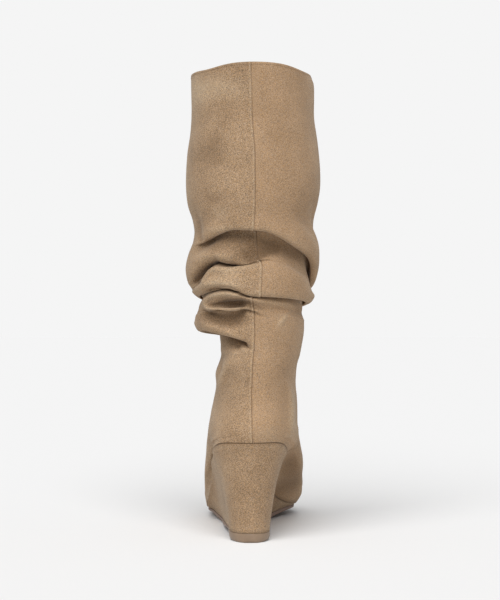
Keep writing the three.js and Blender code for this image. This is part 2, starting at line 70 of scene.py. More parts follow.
# Folds of the shaft from the top down, with one value for each station round it; the stations are in
# degrees from the back seam, positive towards the inner side
stations = [-150, -105, -78, -58, -40, -24, -8, 12, 40, 66, 90, 125]
folds = [
    {"kind": "lip", "overlap": 0.2, "reach": 0,  # lip of the smooth sleeve
     "height": [0.367, 0.399, 0.41, 0.413, 0.439, 0.454, 0.453, 0.445, 0.4, 0.355, 0.285, 0.256],
     "strength": [0.25, 0.05, 0, 0.4, 0.95, 1, 1, 1, 1, 1, 1, 0.8],
     "below": [0.05, 0.03, 0, 0, 0.03, 0.09, 0.13, 0.15, 0.17, 0.15, 0.08, 0.05]},
    {"kind": "crease", "overlap": 0.06, "reach": 0.17,  # under the lobe at the outer side
     "height": [0.296, 0.288, 0.279, 0.312, 0.348, 0.34, 0.337, 0.354, 0.327, 0.295, 0.262, 0.236],
     "strength": [0.35, 0.12, 0, 0.7, 1, 0.85, 0.65, 0.25, 0, 0, 0, 0.1],
     "below": [0.02, 0.03, 0.04, 0.05, 0.05, 0.03, 0.01, 0, 0, 0.02, 0.03, 0.03]},
    {"kind": "lip", "overlap": 0.17, "reach": 0,  # hem of the band
     "height": [0.209, 0.228, 0.24, 0.247, 0.256, 0.263, 0.237, 0.234, 0.229, 0.221, 0.214, 0.193],
     "strength": [0.35, 0.45, 0.5, 0.6, 0.6, 0.4, 0.6, 1, 1, 1, 0.9, 0.45],
     "below": [0.04, 0.04, 0.03, 0.02, 0, 0, 0.03, 0.05, 0.05, 0.05, 0.04, 0.04]},
    {"kind": "crease", "overlap": 0.05, "reach": 0.14,  # mouth under the roll
     "height": [0.18, 0.19, 0.193, 0.203, 0.215, 0.219, 0.218, 0.195, 0.185, 0.177, 0.174, 0.161],
     "strength": [0, 0, 0, 0.05, 0.3, 0.5, 0.4, 0, 0, 0, 0, 0],
     "below": [0.02, 0.02, 0.01, 0.01, 0, 0.01, 0.03, 0.02, 0, 0, 0, 0.02]},
    {"kind": "crease", "overlap": 0.06, "reach": 0.1,  # under the roll
     "height": [0.157, 0.165, 0.172, 0.18, 0.187, 0.184, 0.188, 0.168, 0.158, 0.15, 0.146, 0.138],
     "strength": [0, 0, 0, 0.25, 0.85, 1, 0.6, 0.1, 0, 0, 0, 0],
     "below": [0, 0, 0, 0, 0.01, 0.02, 0.02, 0.01, 0, 0, 0, 0]},
    {"kind": "lip", "overlap": 0.16, "reach": 0.2,  # lobe that hangs over the ankle
     "height": [0.101, 0.115, 0.123, 0.119, 0.105, 0.089, 0.079, 0.08, 0.085, 0.09, 0.091, 0.096],
     "strength": [0.6, 0.95, 1, 1, 0.9, 0.55, 0.08, 0, 0, 0, 0, 0.3],
     "below": [0] * 12},
]

# Key points across a full fold: rise, overlap, roll, slot, reach, and the rise where the leather is smooth
foldPoints = {
    "lip": [(0.95, 0, 0, 0, 0, 0.6), (0.12, 0, 0.2, 0, 0, 0.35), (0.1, 0, 0.78, 0, 0, 0.12),
            (0, 0.6, 1, 0, 0.05, -0.12), (0, 1, 1, 0.5, 0.5, -0.35), (0, 0.4, 1, 1, 1, -0.6)],
    "crease": [(0, 0.5, 0, 0, 0.12, 0.3), (0, 0.6, 0, 0, 1, 0), (0, -0.75, 0, 0, 0.45, -0.3)],
}
# Key rows above the first fold, as shares of the way down to it, and below the last one
sleeveRows = [0, 0.11, 0.22, 0.34, 0.46, 0.57, 0.67, 0.77, 0.86, 0.94]
ankleRows = [0.06, 0.038, 0.012]

# Rings from the ankle to the feather edge: height and overhang of the back, the same of the front, six
# half widths, sideways shift of heel and toe, and how far the ring follows the bottom and its edge
footRings = [
    (0.86, 0.83, 0.98, 0.44, [0.67, 0.7, 0.78, 0.81, 0.78, 0.76], 0.9, 0.9, 0, 0),
    (0.68, 0.83, 0.9, 0.458, [0.7, 0.72, 0.77, 0.82, 0.81, 0.78], 0.95, 1, 0, 0),
    (0.52, 0.87, 0.79, 0.495, [0.78, 0.78, 0.82, 0.87, 0.87, 0.82], 0.75, 0.95, 0, 0),
    (0.38, 0.95, 0.66, 0.55, [0.9, 0.88, 0.87, 0.93, 1.05, 0.95], 0.4, 0.75, 0.02, 0),
    (0.27, 1.01, 0.51, 0.62, [1.03, 0.97, 0.91, 0.98, 1.16, 1.1], 0.1, 0.65, 0.06, 0),
    (0.19, 1.04, 0.375, 0.705, [1.12, 1.02, 0.92, 1.07, 1.25, 1.25], -0.1, 1, 0.2, 0),
    (0.125, 1.04, 0.29, 0.8, [1.18, 1.07, 0.88, 1.12, 1.37, 1.4], -0.1, 1.2, 0.5, 0.1),
    (0.075, 1.03, 0.237, 0.91, [1.25, 1.075, 0.79, 1.12, 1.35, 1.45], -0.1, 1.5, 0.8, 0.25),
    (0.035, 1.015, 0.165, 0.975, [1.3, 1.065, 0.71, 1.06, 1.42, 1.55], -0.15, 1.5, 0.95, 0.5),
]
widthPlaces = [0, 0.13, 0.38, 0.68, 0.87, 1]
ballPlace = widthPlaces[3]
featherWidths = [1.32, 1.06, 0.68, 0.91, 1.36, 1.5]
# Lines along the bottom, as places and values: sideways centre, height, and how the wedge's sides lean
centreLine = ([0, 0.13, 0.38, 0.52, 0.6, 0.69, 0.78, 0.87, 1],
              [-0.22, -0.32, -0.92, -1.1, -0.8, -0.16, 0.52, 0.88, 0.8])
bottomLine = ([0, 0.05, 0.1, 0.15, 0.2, 0.27, 0.4, 0.55, 0.66, 0.75],
              [1.024, 1.012, 0.968, 0.912, 0.86, 0.78, 0.58, 0.225, 0.05, 0])
wedgePlaces = [0, 0.09, 0.19, 0.32, 0.48, 0.64, 0.72, 0.81, 0.9, 1]
wedgeLift = [2.2, 1.9, 1.4, 1.21, 1, 0.6, 0.4, 0.2, 0, 0]
wedgeBall = [0, 0, 0, 0, 0.06, 0.19, 0.34, 0.57, 0.85, 1.09]
wedgeWay = ([0, 0.12, 0.3, 0.55, 0.8, 1], [0, 0.19, 0.42, 0.68, 0.88, 1])


def curveThrough(places, values, at):
    # smooth curve through uneven places, level at both ends
    p, v = np.asarray(places, float), np.asarray(values, float)
    slope = np.diff(v) / np.diff(p)
    lean = np.zeros(len(p))
    lean[1:-1] = (slope[:-1] + slope[1:]) / 2
    x = np.clip(at, p[0], p[-1])
    i = np.clip(np.searchsorted(p, x, side="right") - 1, 0, len(p) - 2)
    span = p[i + 1] - p[i]
    t = (x - p[i]) / span
    start = (1 + 2 * t) * (1 - t) ** 2 * v[i] + t * (1 - t) ** 2 * span * lean[i]
    return start + t * t * (3 - 2 * t) * v[i + 1] - t * t * (1 - t) * span * lean[i + 1]


def stationCurve(values, angle):
    places = [s + turn for turn in (-360, 0, 360) for s in stations]
    return curveThrough(places, list(values) * 3, np.degrees(angle))


def shaftPoint(angle, share, inset):
    s, c = np.sin(angle), np.cos(angle)
    side = {name: curveThrough(shaftHeights, shaftSides[name], share) for name in shaftSides}
    wide = np.where(s > 0, side["inner"], side["outer"]) * boot["shaftWidth"] / 2
    deep = np.where(c > 0, side["back"], side["front"]) * boot["shaftDepth"] / 2
    z = boot["ankle"] + (boot["height"] - boot["ankle"]) * share
    return np.stack([boot["shaftX"] + (wide - inset) * s, boot["shaftY"] - (deep - inset) * c, z], -1)


def foldKeys(fold, angle, above, under):
    half, tall = boot["shaftWidth"] / 2, boot["height"] - boot["ankle"]
    line = stationCurve(fold["height"], angle)
    strength = np.clip(stationCurve(fold["strength"], angle), 0, 1)
    points = foldPoints[fold["kind"]]
    keys = []
    for i, (rise, over, roll, slot, reach, smooth) in enumerate(points):
        up = rise * boot["roll"] + over * fold["overlap"] * half
        inward = roll * boot["roll"] + slot * boot["slot"] + reach * fold["reach"] * half
        plain = above + (under - above) * (i + 1) / (len(points) + 1)
        share = line + (smooth * boot["roll"] * (1 - strength) + up * strength) / tall
        keys.append((share, plain * (1 - strength) + inward * strength))
    return keys


def shaftKeys(angle):
    crests = [np.maximum(0, stationCurve(f["below"], angle)) * boot["shaftWidth"] / 2 for f in folds]
    blocks = [foldKeys(f, angle, crests[k - 1] if k else 0, crests[k]) for k, f in enumerate(folds)]
    top = blocks[0][0][0]
    keys = [(1 + (top - 1) * down, 0 * top) for down in sleeveRows]
    for k, block in enumerate(blocks):
        keys += block
        if k + 1 < len(blocks):
            end = np.minimum(block[-1][0], stationCurve(folds[k]["height"], angle))
            keys.append(((end + blocks[k + 1][0][0]) / 2, crests[k]))
    return keys + [(share + 0 * top, 0 * top) for share in ankleRows]


def soleUnder(y):
    start = boot["liftDepth"] / 2
    t = np.clip((y - start) / (boot["flatStart"] - start), 0, 1)
    spring = np.maximum(0, y - boot["flatEnd"]) / (footEnd - boot["flatEnd"])
    return (boot["liftHeight"] - boot["sole"]) * (1 - t * t * (3 - 2 * t)) + boot["toeSpring"] * spring ** 2


def bottomHeight(y):
    low = boot["sole"] + boot["gap"] + boot["wedgeTip"]
    share = curveThrough(*bottomLine, (y + boot["heelBack"]) / boot["length"])
    return low + (boot["heel"] - low) * share + np.where(y > boot["flatEnd"], soleUnder(y), 0)


def centreShift(share):
    return curveThrough(*centreLine, share) * boot["shift"]


def ringPoint(ring, angle):
    back, backOut, front, frontOut, widths, heelShift, toeShift, follow, edge = ring
    share = (1 - np.cos(angle)) / 2
    y = -backOut * boot["heelBack"] * (1 - share) + (frontOut * boot["length"] - boot["heelBack"]) * share
    z = (boot["heel"] + (boot["ankle"] - boot["heel"]) * back) * (1 - share) + front * boot["ankle"] * share
    chord = boot["heel"] * (1 - share) + bottomHeight(footEnd) * share
    z = z + follow * (bottomHeight(boot["length"] * share - boot["heelBack"]) - chord)
    own = (heelShift + (toeShift - heelShift) * np.minimum(1, share / ballPlace)) * boot["shift"]
    x = own + (centreShift(share) - own) * edge
    half = curveThrough(widthPlaces, widths, share) * boot["ball"] / 2
    return np.stack([x + half * np.sin(angle), y, z], -1)


def featherPoint(angle):
    # edge where the upper meets the wedge and the sole
    share = (1 - np.cos(angle)) / 2
    y = -boot["heelBack"] * (1 - share) + footEnd * share
    half = curveThrough(widthPlaces, featherWidths, share) * boot["ball"] / 2
    return np.stack([centreShift(share) + half * np.sin(angle), y, bottomHeight(y)], -1)


def featherHalf(y):
    share = np.clip((y + boot["heelBack"]) / boot["length"], 0, 1)
    return curveThrough(widthPlaces, featherWidths, share) * boot["ball"] * np.sqrt(share * (1 - share))


def angleAt(share):
    return np.arccos(np.clip(1 - 2 * share, -1, 1))


wedgeAngle = angleAt((boot["wedgeEnd"] + boot["heelBack"]) / boot["length"])


# The sole's edge is a little thicker along the waist
welt = {"rise": 1.1, "start": (22, 50), "end": (120, 145)}


def weltRise(y):
    return welt["rise"] * eased(*welt["start"], y) * (1 - eased(*welt["end"], y))


def wedgeHalf(y):
    start = boot["liftDepth"] / 2
    share = np.clip((y + start) / (boot["wedgeEnd"] + start), 0, 1)
    lift = curveThrough(wedgePlaces, wedgeLift, share) * boot["liftWidth"] / 2
    ball = curveThrough(wedgePlaces, wedgeBall, share) * boot["ball"] / 2
    return (lift + ball) * np.sin(angleAt(share * (1 - math.cos(wedgeAngle)) / 2))


def footShift(y):
    return centreShift((y + boot["heelBack"]) / boot["length"])


def eased(low, high, value):
    t = np.clip((value - low) / (high - low), 0, 1)
    return t * t * (3 - 2 * t)


# Moves that all pieces share: where, how far they reach, and which way they pull, in millimetres
pulls = [
    {"at": (62, 22, 414), "reach": (16, 50, 6), "move": (-3.4, 0, -1)},  # inner corner of the rim curls in
    {"at": (-36, -16, 415), "reach": (18, 24, 9), "move": (0, 0, -2.8)},  # rim falls away from the back seam
    {"at": (43, -14, 415), "reach": (18, 24, 9), "move": (0, 0, -3)},
    {"at": (36, 86, 28), "reach": (18, 20, 20), "move": (-8.5, 0, 2)},  # hollow of the arch
    {"at": (44, 120, 9), "reach": (13, 38, 13), "move": (4.6, 0, 3.2)},  # ball at the inner side
    {"at": (-38, 20, 74), "reach": (9, 16, 14), "move": (3.4, 0, 0)},  # outer corner of the cover's seam
]
upperPulls = [
    {"at": (-38, 34, 62), "reach": (10, 26, 12), "move": (2, 0, 0)},  # flush with the wedge at the outer side
    {"at": (48, 124, 20), "reach": (12, 34, 8), "move": (1.5, 0, -0.8)},  # fuller ball at the inner side
]
wedgePulls = [{"at": (-35, 28, 66), "reach": (8, 28, 16), "move": (-1.5, 0, 0)}]
# The sole's edges rise towards the sides, less so at the toe
soleEdge = {"lift": 4.8, "from": 0.5, "start": (26, 78), "end": (168, 198), "toeLoss": 0.6, "height": (9, 46)}


def pulled(points, moves):
    moved = points.copy()
    for pull in moves:
        away = (points - pull["at"]) / pull["reach"]
        moved += np.exp(-np.sum(away ** 2, -1))[..., None] * pull["move"]
    return moved


def shaped(points):
    p = np.array(points, float)
    half = np.maximum(featherHalf(p[..., 1]), 1)
    side = eased(soleEdge["from"], 1, np.abs(p[..., 0] - footShift(p[..., 1])) / half)
    along = eased(*soleEdge["start"], p[..., 1])
    along = along * (1 - soleEdge["toeLoss"] * eased(*soleEdge["end"], p[..., 1]))
    rise = soleEdge["lift"] * side * along * (1 - eased(*soleEdge["height"], p[..., 2]))
    moved = p.copy()
    moved[..., 2] += rise
    return pulled(moved, pulls)


# Where the boot is seen from behind, for the creases: turn in degrees, then across, back and eye height
rearView = {"turn": 5, "across": 61.7, "far": 1062, "eye": 185}


def seenFromBack(points):
    # places as seen from behind: across from the lift's middle and up from the floor
    turn = math.radians(rearView["turn"])
    across, back, eye = rearView["across"], rearView["far"], rearView["eye"]
    wide = points[..., 0] * math.cos(turn) - points[..., 1] * math.sin(turn) - across
    far = points[..., 0] * math.sin(turn) + points[..., 1] * math.cos(turn) + back
    return wide / far * back + across, eye + (points[..., 2] - eye) / far * back


# Creases and ridges: across, up and depth at each point as seen from behind (a negative depth
# stands out), the spread over and under, and the key row of the upper from which they work, so that a lip
# stays whole over its hollow
creases = [
    ([(-52, 298, 0), (-49.4, 287, 1.2), (-47.2, 280, 1.8), (-46.8, 272.7, 2), (-45.4, 265, 1.4)],
     (2.8, 2.8), 0),  # trough at the outer side of the sleeve
    ([(-54, 338, 0.6), (-44, 336, 1.2), (-32, 334, 1.1), (-22, 332, 0.3)],
     (13, 12), 0),  # dents of the sleeve
    ([(-44, 300, 0.6), (-32, 299, 1), (-20, 303, 0.5)], (5, 5), 0),
    ([(-43, 270, -0.6), (-38, 273, -1.4), (-30, 274.5, -1.4), (-20, 275, -0.6)],
     (3.5, 3), 0),  # thick lip of the sleeve
    ([(-45, 258, 0.6), (-37, 261, 1.4), (-28, 266, 2.2), (-16, 267.5, 2.8), (-3, 267, 3.2),
      (8, 264.5, 3.2), (18, 261.5, 3.2), (28, 257.5, 2.8), (38, 252, 2.2)], (6, 8), 13),  # hollow under it
    ([(-16, 252, 0.6), (-4, 251, 2), (7, 253, 2.8), (15, 256, 3.4), (22, 257, 2.2), (28, 257, 0)],
     (6, 5), 13),  # dark pocket
    ([(-48, 247, -1), (-40, 250.4, -2.2), (-30, 250.8, -2.6), (-20, 249.5, -2)],
     (5, 3.4), 13),  # crown of the lobe
    ([(-51, 223, 1.4), (-48, 229, 4), (-44, 236, 5), (-39, 242, 4.8), (-33.6, 244.8, 4)],
     (5, 2.8), 13),  # valley between the lobe and the band
    ([(-33.6, 244.8, 3.4), (-27.6, 244, 4.8), (-22, 242.4, 4.6), (-16.5, 241.8, 3.4)], (2.8, 1.1), 13),
    ([(-16.5, 241.8, 3), (-7, 243.2, 3.2), (1, 245.8, 3.6), (8, 248.5, 3), (15, 252.5, 1.4)],
     (7, 1.2), 13),
    ([(-42.5, 230, -1.6), (-38.5, 237, -2), (-32, 240, -2.1), (-22, 239, -2), (-9.6, 241, -1.9),
      (3, 244, -1.8), (8.7, 246.5, -0.8)], (1.6, 4), 17),  # upper edge of the band
    ([(-54, 236, -0.6), (-53, 228, -1.2), (-49, 219.5, -0.6)], (3, 3), 13),
    ([(-45, 222, -1), (-40, 225.5, -2), (-28.5, 226.5, -2), (-17, 224.5, -1.8), (-6, 222, -0.6)],
     (4.5, 3.4), 17),
    ([(-45, 215.4, 1), (-41, 219.8, 3), (-36, 221.8, 3.8), (-28, 222.4, 4.2), (-20, 221.8, 4.8),
      (-13.4, 219.6, 4.6)], (1.1, 1.7), 21),  # slit over the roll
    ([(-13, 216, -1.6), (-20, 217.2, -2.2), (-28.5, 217.6, -2.4), (-36, 216, -2.2), (-40.6, 212.4, -2),
      (-41.6, 208.4, -2.2), (-38.8, 205, -2.6), (-32.3, 202.8, -3.4), (-22.2, 202, -3.8),
      (-12.1, 202.8, -3.4), (-5.6, 205.4, -1.4)], (2, 2), 23),  # rim of the roll
    ([(-34, 209.6, 1), (-28, 209.9, 4.2), (-20, 209.3, 6.2), (-12, 208.8, 7.4), (-7.6, 208.8, 6.2),
      (-4.6, 209.2, 2.4)], (4.4, 3.9), 23),  # mouth of the roll
    ([(-45, 203, 0.4), (-40, 200.8, 2.2), (-31, 198, 4.2), (-22, 196.6, 4.8), (-14, 197.8, 4.4),
      (-8, 201, 2.4), (-5, 203, 0.2)], (1.4, 8), 23),  # shadow under the roll
    ([(-48, 190, 0), (-41, 186.5, -1), (-28.5, 182, -1.6), (-16, 178, -1.6), (-7, 174, -0.8)],
     (4, 5), 23),  # hem of the lowest lobe
    ([(-19.7, 190, 0.6), (-12, 190.2, 1.3), (-4.6, 189.8, 0.8)], (1.8, 1.8), 23),
    ([(-18, 172, 1), (-12.4, 169.8, 3.6), (-9, 166, 1.8)], (2.4, 3.4), 23),  # dimple
    ([(-16, 165, -0.8), (-21, 156, -1.8), (-26.5, 142.7, -1.8), (-29, 130, -0.6)],
     (3.4, 3.4), 36),  # pulls towards the counter
    ([(-26, 163, 0.8), (-27.5, 150, 1.8), (-30, 139, 0.6)], (2.2, 2.2), 36),
    ([(-7, 166, -0.4), (-4.5, 156, -1), (-3, 146, -0.3)], (3, 3), 36),
    ([(34, 204, -0.4), (27, 193, -1.2), (20, 184, -0.4)], (2.2, 2.2), 26),
    ([(31.5, 138, -0.8), (35, 123, -2), (36, 110, -2.2), (33.5, 92, -1)],
     (3.4, 3), 40),  # ridge and trough beside the heel
    ([(38, 139, 0.8), (39.8, 122, 2), (40.4, 104, 1.6)], (3, 3), 40),
]
# Painted shade in folds and hollows, and painted light where negative, as seen from behind: across, up,
# reach to the sides and up, and how dark; the broad ones on the sleeve partly stand for its mottled nap
paintedShades = [
    (-10, 253, 26, 9, 0.75),
    (11, 257, 10, 6, 0.8),
    (-36, 258, 13, 8, 0.6),
    (-42, 236, 8, 9, 0.5),
    (-14, 208.4, 14, 4.6, 0.9),
    (-25, 197, 22, 6, 1),
    (-30, 188, 24, 8, 0.35),
    (-49, 236, 7, 11, 0.65),
    (-24, 232, 18, 6, -0.5),
    (-38, 343, 19, 17, 0.27),
    (-24, 370, 11, 16, 0.24),
    (-36, 306, 12, 10, 0.2),
    (-20, 345, 12, 12, 0.15),
    (-28, 399, 28, 12, -0.8),
    (-27, 289, 9, 7, -0.6),
    (-36, 58, 4, 22, -0.9),
    (26, 193, 5, 9, -0.45),
    (-14, 120, 12, 16, 0.15),
    (16, 92, 14, 8, -0.4),
    (37, 112, 4, 18, -1),
    (-48, 395, 8, 14, -0.5),
]
# The inner side of the foot lies in the shade of the wedge
footShade = {"at": (44, 70, 38), "reach": (17, 60, 34), "dark": 0.75}

sideBlend = 0.8  # millimetres over which a crease's upper spread turns into its lower one


def pressed(across, up, way, spread):
    # how far one crease presses in at each place: full on its way, fading sideways and past its ends
    best = np.full(across.shape, np.inf)
    side, depth = np.zeros(across.shape), np.zeros(across.shape)
    for a, b in zip(way, way[1:]):
        dx, dy = b[0] - a[0], b[1] - a[1]
        t = np.clip(((across - a[0]) * dx + (up - a[1]) * dy) / (dx * dx + dy * dy), 0, 1)
        offX, offY = across - a[0] - t * dx, up - a[1] - t * dy
        distance = np.hypot(offX, offY)
        near = distance < best
        best = np.where(near, distance, best)
        side = np.where(near, (dx * offY - dy * offX) / math.hypot(dx, dy), side)
        depth = np.where(near, a[2] + (b[2] - a[2]) * t, depth)
    over, under = spread
    reach = under + (over - under) * (0.5 + 0.5 * np.tanh(side / sideBlend))
    return depth * np.exp(-(best / reach) ** 2)


# Surface helpers: rows of points are smoothed, their bends found, and they are put on a bmesh grid
def between(x, start, end, a, b):
    return (a * (end - x) + b * (x - start)) / (end - start)


def smoothRows(keys, steps):
    # centripetal curve through the key rows of every column
    rows = [keys[0]]
    for k, count in enumerate(steps):
        p = [keys[max(k - 1, 0)], keys[k], keys[k + 1], keys[min(k + 2, len(keys) - 1)]]
        t = [np.zeros(keys.shape[1:2] + (1,))]
        for a, b in zip(p, p[1:]):
            t.append(t[-1] + np.sqrt(np.linalg.norm(b - a, axis=-1, keepdims=True) + 1e-4))
        for i in range(1, count + 1):
            x = t[1] + (t[2] - t[1]) * i / count
            first = [between(x, t[j], t[j + 1], p[j], p[j + 1]) for j in range(3)]
            second = [between(x, t[j], t[j + 2], first[j], first[j + 1]) for j in range(2)]
            rows.append(between(x, t[1], t[2], *second))
    return np.array(rows)


def gridNormals(rows):
    # outward normals of a grid that runs round in its columns and down in its rows
    across = np.roll(rows, -1, axis=1) - np.roll(rows, 1, axis=1)
    down = np.gradient(rows, axis=0)
    normal = np.cross(down, across)
    return normal / (np.linalg.norm(normal, axis=-1, keepdims=True) + 1e-9)


def softened(values, times):
    for _ in range(times):
        values = (values + np.roll(values, 1, 1) + np.roll(values, -1, 1)) / 3
        padded = np.concatenate([values[:1], values, values[-1:]])
        values = (padded[:-2] + padded[1:-1] + padded[2:]) / 3
    return values


def bendOf(rows, reach):
    # positive on ridges, negative in troughs, over a reach in grid steps
    normal = gridNormals(rows)
    padded = np.concatenate([rows[:1].repeat(reach, 0), rows, rows[-1:].repeat(reach, 0)])
    near = (np.roll(rows, reach, 1) + np.roll(rows, -reach, 1) + padded[:-2 * reach] + padded[2 * reach:]) / 4
    size = np.linalg.norm(padded[:-2 * reach] - padded[2 * reach:], axis=-1) + 1
    return -np.sum((near - rows) * normal, -1) / size


def closedGrid(rows, layers=None, wrap=False, caps=False):
    # a bmesh grid, moved onto the rows and closed round its columns; wrap closes it down its rows as well,
    # and caps fills its two ends
    if wrap:
        rows = np.concatenate([rows, rows[:1]])
    count, columns = rows.shape[0], rows.shape[1]
    bm = bmesh.new()
    bmesh.ops.create_grid(bm, x_segments=columns, y_segments=count - 1, size=1)
    keep = {key: bm.verts.layers.float.new(key) for key in (layers or {})}
    for vert in bm.verts:
        i = round((vert.co.x + 1) / 2 * columns) % columns
        j = round((1 - vert.co.y) / 2 * (count - 1))
        vert.co = Vector(rows[j, i]) * mm
        for key, layer in keep.items():
            vert[layer] = float(layers[key][j % layers[key].shape[0], i])
    bmesh.ops.remove_doubles(bm, verts=bm.verts, dist=weld)
    if caps:
        bmesh.ops.holes_fill(bm, edges=[e for e in bm.edges if e.is_boundary], sides=0)
    bmesh.ops.dissolve_degenerate(bm, edges=bm.edges, dist=weld / 10)
    bmesh.ops.recalc_face_normals(bm, faces=bm.faces)
    if bm.calc_volume(signed=True) < 0:
        bmesh.ops.reverse_faces(bm, faces=bm.faces)
    return bm


def makeObject(name, bm, materials, smooth=True):
    for face in bm.faces:
        face.smooth = smooth
    mesh = bpy.data.meshes.new(name)
    bm.to_mesh(mesh)
    bm.free()
    for material in materials:
        mesh.materials.append(material)
    made = bpy.data.objects.new(name, mesh)
    bpy.context.scene.collection.objects.link(made)
    return made


def makePiece(name, bm, materials, smooth=True):
    piece = makeObject(name, bm, materials, smooth)
    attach(piece, root)
    return piece


def makeMaterial(name, sockets):
    # a material with plain values on its shader's own sockets
    material = bpy.data.materials.new(name)
    material.use_nodes = True
    shader = material.node_tree.nodes["Principled BSDF"]
    for label, value in sockets.items():
        shader.inputs[label].default_value = value
    return material, material.node_tree, shader


def addNode(tree, kind, **values):
    node = tree.nodes.new(kind)
    for key, value in values.items():
        if key in node.inputs:
            node.inputs[key].default_value = value
        else:
            setattr(node, key, value)
    return node


# Nap group: brushed patches, speckle of the fibres with its tint, and their height, for suede and lining
napLook = {"finer": 2.3, "finerShare": 0.6, "tintShift": (0.37, 0.11, 0.73)}


def buildNap():
    group = bpy.data.node_groups.new("nap", "ShaderNodeTree")
    for label, kind in (("Coordinates", "NodeSocketVector"), ("Patch Size", "NodeSocketFloat"),
                        ("Speckle Size", "NodeSocketFloat")):
        group.interface.new_socket(name=label, in_out="INPUT", socket_type=kind)
    for label in ("Patches", "Speckle", "Tint", "Height"):
        group.interface.new_socket(name=label, in_out="OUTPUT", socket_type="NodeSocketFloat")
    entry, leave = group.nodes.new("NodeGroupInput"), group.nodes.new("NodeGroupOutput")
    join = group.links.new
    finer = addNode(group, "ShaderNodeMath", operation="MULTIPLY")
    finer.inputs[1].default_value = napLook["finer"]
    join(entry.outputs["Speckle Size"], finer.inputs[0])
    noises = {}
    patchSize, speckleSize = entry.outputs["Patch Size"], entry.outputs["Speckle Size"]
    fineSize = finer.outputs[0]
    for label, scale, detail, rough in (
            ("Patches", patchSize, 5.0, 0.62), ("Speckle", speckleSize, 2.0, 0.75),
            ("Tint", speckleSize, 1.0, 0.5), ("Height", fineSize, 3.0, 0.7)):
        texture = addNode(group, "ShaderNodeTexNoise", Detail=detail, Roughness=rough)
        if label == "Tint":
            shift = addNode(group, "ShaderNodeVectorMath", operation="ADD")
            shift.inputs[1].default_value = napLook["tintShift"]
            join(entry.outputs["Coordinates"], shift.inputs[0])
            join(shift.outputs[0], texture.inputs["Vector"])
        else:
            join(entry.outputs["Coordinates"], texture.inputs["Vector"])
        join(scale, texture.inputs["Scale"])
        noises[label] = texture.outputs["Fac"]
    height = addNode(group, "ShaderNodeMath", operation="MULTIPLY_ADD")
    height.inputs[1].default_value = napLook["finerShare"]
    join(noises["Height"], height.inputs[0])
    join(noises["Speckle"], height.inputs[2])
    for label in ("Patches", "Speckle", "Tint"):
        join(noises[label], leave.inputs[label])
    join(height.outputs[0], leave.inputs["Height"])
    return group


napGroup = buildNap()


def feed(tree, value, socket):
    # links the output of another node, or sets a plain value
    if isinstance(value, bpy.types.NodeSocket):
        tree.links.new(value, socket)
    else:
        socket.default_value = value


def mixIn(tree, factor, base, top, kind="MIX"):
    blend = addNode(tree, "ShaderNodeMix", data_type="RGBA", blend_type=kind)
    for value, label in ((factor, "Factor"), (base, "A"), (top, "B")):
        feed(tree, value, blend.inputs[label])
    return blend.outputs["Result"]


def spanned(tree, value, low, high, start, end):
    span = addNode(tree, "ShaderNodeMapRange")
    for label, given in (("From Min", low), ("From Max", high), ("To Min", start), ("To Max", end),
                         ("Value", value)):
        feed(tree, given, span.inputs[label])
    return span.outputs["Result"]


# Spans of the nap group's values that carry colour, and how high the fibres stand in metres
napSpans = {"patches": (0.34, 0.66), "tint": (0.35, 0.65), "grain": (0.3, 0.7), "creases": 0.12,
            "fibre": 0.0006}


def napMaterial(name, look):
    # suede: brushed patches, pale ridges (rubbed wear and painted highlight), troughs in painted shade,
    # coarse or smooth panels, and a fibrous bump
    material, tree, shader = makeMaterial(name, look["sockets"])
    place = addNode(tree, "ShaderNodeTexCoord")
    nap = addNode(tree, "ShaderNodeGroup")
    nap.node_tree = napGroup
    nap.inputs["Patch Size"].default_value = look["patch"]
    nap.inputs["Speckle Size"].default_value = look["speckleSize"]
    tree.links.new(place.outputs["Object"], nap.inputs["Coordinates"])
    panel = addNode(tree, "ShaderNodeAttribute", attribute_name="panel").outputs["Fac"]
    patches = spanned(tree, nap.outputs["Patches"], *napSpans["patches"], 0, 1)
    smooth = mixIn(tree, patches, look["smooth"][0], look["smooth"][1])
    coarse = mixIn(tree, patches, look["coarse"][0], look["coarse"][1])
    colour = mixIn(tree, panel, smooth, coarse)
    # the trough mask mixes in painted shade, the ridge mask a pale colour for rubbed wear and painted
    # highlight
    for key in ("trough", "ridge"):
        mask = addNode(tree, "ShaderNodeAttribute", attribute_name=key).outputs["Fac"]
        share = spanned(tree, mask, napSpans["creases"], 1, 0, look[key][1])
        colour = mixIn(tree, share, colour, look[key][0])
    tint = spanned(tree, nap.outputs["Tint"], *napSpans["tint"], 0, 1)
    tints = mixIn(tree, tint, look["tints"][0], look["tints"][1])
    colour = mixIn(tree, look["tintShare"], colour, tints, "MULTIPLY")
    low = spanned(tree, panel, 0, 1, 1 - look["speckle"][0], 1 - look["speckle"][1])
    high = spanned(tree, panel, 0, 1, 1 + look["speckle"][0], 1 + look["speckle"][1])
    grain = spanned(tree, nap.outputs["Speckle"], *napSpans["grain"], low, high)
    colour = mixIn(tree, 1.0, colour, grain, "MULTIPLY")
    tree.links.new(colour, shader.inputs["Base Color"])
    bump = addNode(tree, "ShaderNodeBump", Strength=look["bump"], Distance=napSpans["fibre"])
    tree.links.new(nap.outputs["Height"], bump.inputs["Height"])
    tree.links.new(bump.outputs["Normal"], shader.inputs["Normal"])
    return material


